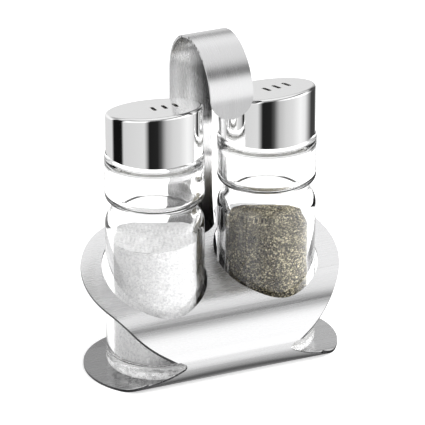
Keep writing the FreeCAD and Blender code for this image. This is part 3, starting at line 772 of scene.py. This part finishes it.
def foot_skin_and_glow(tree, place):
    """The share of the foot's skin at each place, and the skin itself: matt white with a painted glow."""
    rise = calculate(tree, "DIVIDE", parts_of(tree, place)[2], FOOT_HEIGHT)
    mottle = add(tree, "ShaderNodeTexNoise", {"Vector": place, "Scale": 420.0, "Detail": 4.0}).outputs[0]
    share = calculate(tree, "MULTIPLY", ramp(tree, rise, FOOT_SHARE), ramp(tree, mottle, FOOT_MOTTLE))
    matt = add(tree, "ShaderNodeBsdfDiffuse", {"Color": FOOT_COLOUR})
    # painted glow, standing in for the light that the base sheet throws back up
    painted_glow = add(tree, "ShaderNodeEmission", {"Color": (*WHITE, 1), "Strength": FOOT_PAINTED_GLOW})
    skin = add(tree, "ShaderNodeAddShader", {0: matt.outputs[0], 1: painted_glow.outputs[0]})
    return share, skin.outputs[0]


def make_glass():
    """Clear glass: refraction for what the eye sees, and a free way in for light."""
    material, tree, shader = new_material(
        "jar_glass", Base_Color=(0.99, 0.99, 0.99, 1), Roughness=0.0, IOR=1.5, Transmission_Weight=1.0)
    place = tree.nodes.new("ShaderNodeTexCoord").outputs["Object"]
    wave = add(tree, "ShaderNodeTexNoise", {"Vector": place, "Scale": 55.0, "Detail": 1.0}).outputs[0]
    bump = add(tree, "ShaderNodeBump", {"Height": wave, "Strength": 0.25, "Distance": WAVE_DEPTH})
    tree.links.new(bump.outputs[0], shader.inputs["Normal"])
    share, skin = foot_skin_and_glow(tree, place)
    glass = add(tree, "ShaderNodeMixShader", {0: share, 1: shader.outputs[0], 2: skin})
    ray = tree.nodes.new("ShaderNodeLightPath").outputs
    free = calculate(tree, "MAXIMUM", ray["Is Shadow Ray"], ray["Is Diffuse Ray"])
    clear = add(tree, "ShaderNodeBsdfTransparent", {"Color": CLEAR_GLASS})
    both = add(tree, "ShaderNodeMixShader", {0: free, 1: glass.outputs[0], 2: clear.outputs[0]})
    tree.links.new(both.outputs[0], tree.nodes["Material Output"].inputs["Surface"])
    return material


jar_glass = make_glass()
for flavour in ("salt", "pepper"):
    dress(flavour + "_jar", jar_glass)

# %% [markdown]
# ## The outline of a filling
# Salt and pepper take the shape of their jar: flat below, round at the corner, straight up the wall.
# Half of that outline, turned round the jar's axis, makes the whole heap. It is worked out as one row
# of distances from the axis and one of heights.

# %% Outline of a filling
# The radius between foot and side, in metres
CORNER = 0.00235


def filling_profile(radius, low, high):
    """Distance from the axis and height, from the middle of the foot round to the middle of the top."""
    foot = np.linspace(0, radius - CORNER, 40)
    turn = np.linspace(0, math.pi / 2, 12)[1:]
    side = np.linspace(low + CORNER, high, 120)[1:]
    top = np.linspace(radius, 0, 110)[1:]
    across = np.concatenate([foot, radius - CORNER + CORNER * np.sin(turn), np.full(len(side), radius), top])
    height = np.concatenate([np.full(len(foot), low), low + CORNER - CORNER * np.cos(turn), side,
                             np.full(len(top), high)])
    return across, height


print("points on an outline 15 mm in radius:", len(filling_profile(0.015, 0.0, 0.05)[0]))

# %% [markdown]
# ## Lumps
# Poured grains settle unevenly. Waves of several lengths in random directions, added up, give lumps of
# several sizes that never repeat. The seed fixes the directions, so that a heap is the same each time
# it is made.

# %% Lumps
# Wavelengths and heights in metres. The largest phase is a little over a full turn.
LUMP_SIZES = (0.016, 0.006, 0.0016)
LUMP_HEIGHTS = (0.00035, 0.00020, 0.00009)
WAVES_OF_A_SIZE = 7
WAVES_IN_A_LUMP = 3
LARGEST_PHASE = 7


def lumps(points, seed):
    """The sum of sines of the way along random directions, each with its own wavelength and height."""
    chance = np.random.default_rng(seed)
    total = np.zeros(len(points))
    for size, height in zip(LUMP_SIZES, LUMP_HEIGHTS):
        for _ in range(WAVES_OF_A_SIZE):
            heading = chance.normal(size=3)
            heading = heading / np.linalg.norm(heading)
            phase = chance.uniform(0, LARGEST_PHASE)
            way = points @ heading * 2 * math.pi / size
            total = total + height / WAVES_IN_A_LUMP * np.sin(way + phase)
    return total


print("lump at the origin:", round(float(lumps(np.zeros((1, 3)), 5)[0]) * 1000, 3), "mm")

# %% [markdown]
# ## Heaps of salt and pepper
# Each heap is a closed surface of revolution. A cylinder with a bump in its material would show a
# straight edge against the glass, so real points move: inward on the side, because the glass is there,
# and up and down on the top, which also slopes slightly.

# %% The surface of a heap
# Points round a ring, room for lumps under the top in metres, and how far and how deep the side is drawn in
AROUND = 300
TOP_ROOM = 0.0006
TOP_TOLERANCE = 1e-7
SIDE_FROM = 0.9
SIDE_LEAST = 0.0002
SIDE_MOST = 0.0004


def turn_profile(across, height):
    """Each point of the outline times cosine and sine of the turn, and one point at each end on the axis."""
    turn = np.arange(AROUND) * 2 * math.pi / AROUND
    rings = np.stack([np.outer(across[1:-1], np.cos(turn)), np.outer(across[1:-1], np.sin(turn)),
                      np.repeat(height[1:-1, None], AROUND, axis=1)], axis=2).reshape(-1, 3)
    ends = np.array([(0, 0, height[0]), (0, 0, height[-1])])
    return np.concatenate([rings, ends])


def settle(points, top, radius, slope, seed):
    """Distances from the axis times 1 minus the lump over the distance, and heights plus lump and slope."""
    reach = np.hypot(points[:, 0], points[:, 1])
    bump = lumps(points, seed)
    on_top = points[:, 2] > top - TOP_TOLERANCE
    squeeze = 1 - np.clip(bump + SIDE_LEAST, 0, SIDE_MOST) / np.maximum(reach, radius / 2)
    points[:, :2] = points[:, :2] * np.where(on_top | (reach < radius * SIDE_FROM), 1.0, squeeze)[:, None]
    points[:, 2] = points[:, 2] + np.where(on_top, bump + slope * points[:, 0], 0)
    return points


def heap_faces(ring_count):
    """Four-cornered faces between neighbouring rings, and a fan of triangles at each end."""
    edge = np.arange(AROUND)
    after = (edge + 1) % AROUND
    ring = np.arange(ring_count - 1)[:, None] * AROUND
    start, beside = (ring + edge).ravel(), (ring + after).ravel()
    quads = np.stack([start, beside, beside + AROUND, start + AROUND], axis=1).tolist()
    last = (ring_count - 1) * AROUND
    foot_pole = ring_count * AROUND
    foot_fan = np.stack([np.full(AROUND, foot_pole), after, edge], axis=1).tolist()
    top_fan = np.stack([np.full(AROUND, foot_pole + 1), edge + last, after + last], axis=1).tolist()
    return quads + foot_fan + top_fan


print("points round a heap:", AROUND)

# %% [markdown]
# ## Fitting a heap to its jar
# The engineering model has a plain solid where each filling is. Its box gives the heap its width, its
# height and the jar's axis, so that the heap still fits when a size changes. It rides on its shaker and
# hides the plain solid.


# %% A heap in its jar
def make_filling(flavour, seed, slope, material):
    """A closed surface of revolution as wide and as high as the plain filling that it stands for."""
    low_corner, high_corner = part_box(flavour + "_grains")
    axis_x = (low_corner[0] + high_corner[0]) / 2
    radius = (high_corner[0] - low_corner[0]) / 2
    across, height = filling_profile(radius, low_corner[2], high_corner[2] - TOP_ROOM)
    points = settle(turn_profile(across, height), height[-1], radius, slope, seed)
    points[:, 2] = np.minimum(points[:, 2], high_corner[2])
    points[:, 0] = points[:, 0] + axis_x
    piece = mesh_object(flavour + "_heap", points, heap_faces(len(across) - 2))
    piece.data.materials.append(material)
    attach(piece, flavour + "_shaker")
    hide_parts(flavour + "_grains")
    print(piece.name, len(piece.data.polygons), "faces")


# %% [markdown]
# ## Grains
# A jar holds far too many grains to model one by one. Seen through the glass they are a mosaic, so the
# heap wears one: tiny cells, each with its own shade, and a bump that rounds each cell into a grain.
# Soft clouds make some places paler. The pepper is also painted paler towards one side, as painted
# light from that side.

# %% Grains
# Clouds a metre, and the radius of a filling in metres, by which the painted side light is measured
CLOUD_SCALE = 130.0
FILLING_RADIUS = 0.0168


def make_grains(name, cell, clouds, shades, roughness, lift, painted_side_light=0.0, axis_x=0.0):
    """Cells of a given size, whose shade is a random number plus the clouds plus painted light to one side.
    """
    material, tree, shader = new_material(name, Roughness=roughness)
    place = tree.nodes.new("ShaderNodeTexCoord").outputs["Object"]
    cells = add(tree, "ShaderNodeTexVoronoi", {"Vector": place, "Scale": 1 / cell, "Randomness": 1.0}).outputs
    cloud = add(tree, "ShaderNodeTexNoise", {"Vector": place, "Scale": CLOUD_SCALE, "Detail": 3.0}).outputs[0]
    cloud = calculate(tree, "SUBTRACT", cloud, 0.5)
    shade = calculate(tree, "MULTIPLY_ADD", cloud, clouds, parts_of(tree, cells["Color"])[0])
    off_axis = calculate(tree, "SUBTRACT", parts_of(tree, place)[0], axis_x)
    sideways = calculate(tree, "DIVIDE", off_axis, FILLING_RADIUS)
    # painted light: the grains grow paler towards one side of the jar
    shade = calculate(tree, "MULTIPLY_ADD", sideways, painted_side_light, shade)
    tree.links.new(ramp(tree, shade, shades), shader.inputs["Base Color"])
    rounded = calculate(tree, "SUBTRACT", 1.0, cells["Distance"])
    bump = add(tree, "ShaderNodeBump", {"Height": rounded, "Strength": lift, "Distance": cell / 2})
    tree.links.new(bump.outputs[0], shader.inputs["Normal"])
    return material


# %% [markdown]
# ## Salt
# Table salt is fine and white, and its grains differ only a little. Pure white would clip in the light
# and lose them, so the shades run from a pale grey to nearly white, and the grains are lifted only
# slightly.

# %% Salt
SALT_SHADES = (
    (0.0, (0.66, 0.66, 0.67)), (0.3, (0.78, 0.78, 0.785)), (0.7, (0.87, 0.87, 0.87)),
    (1.0, (0.94, 0.94, 0.94)))
salt = make_grains("salt", cell=0.00055, clouds=0.35, shades=SALT_SHADES, roughness=0.5, lift=0.35)
make_filling("salt", seed=5, slope=0.02, material=salt)

# %% [markdown]
# ## Ground pepper
# Ground pepper is a mix of nearly black husk and cream kernel. An even spread of one brown would look
# like dust, so most cells are dark and a few are very pale, and each is lifted fully, because the
# grains are coarse.

# %% Ground pepper
PEPPER_SHADES = (
    (0.0, (0.003, 0.002, 0.001)), (0.25, (0.012, 0.010, 0.006)), (0.5, (0.065, 0.055, 0.033)),
    (0.7, (0.165, 0.143, 0.090)), (0.85, (0.37, 0.33, 0.22)), (1.0, (0.85, 0.77, 0.54)))
PEPPER_AXIS = 0.0245
# painted light from the right: the pepper grows paler towards its right side
pepper = make_grains("ground_pepper", cell=0.00042, clouds=0.45, shades=PEPPER_SHADES, roughness=0.85,
                     lift=1.0, painted_side_light=0.13, axis_x=PEPPER_AXIS)
make_filling("pepper", seed=8, slope=-0.03, material=pepper)
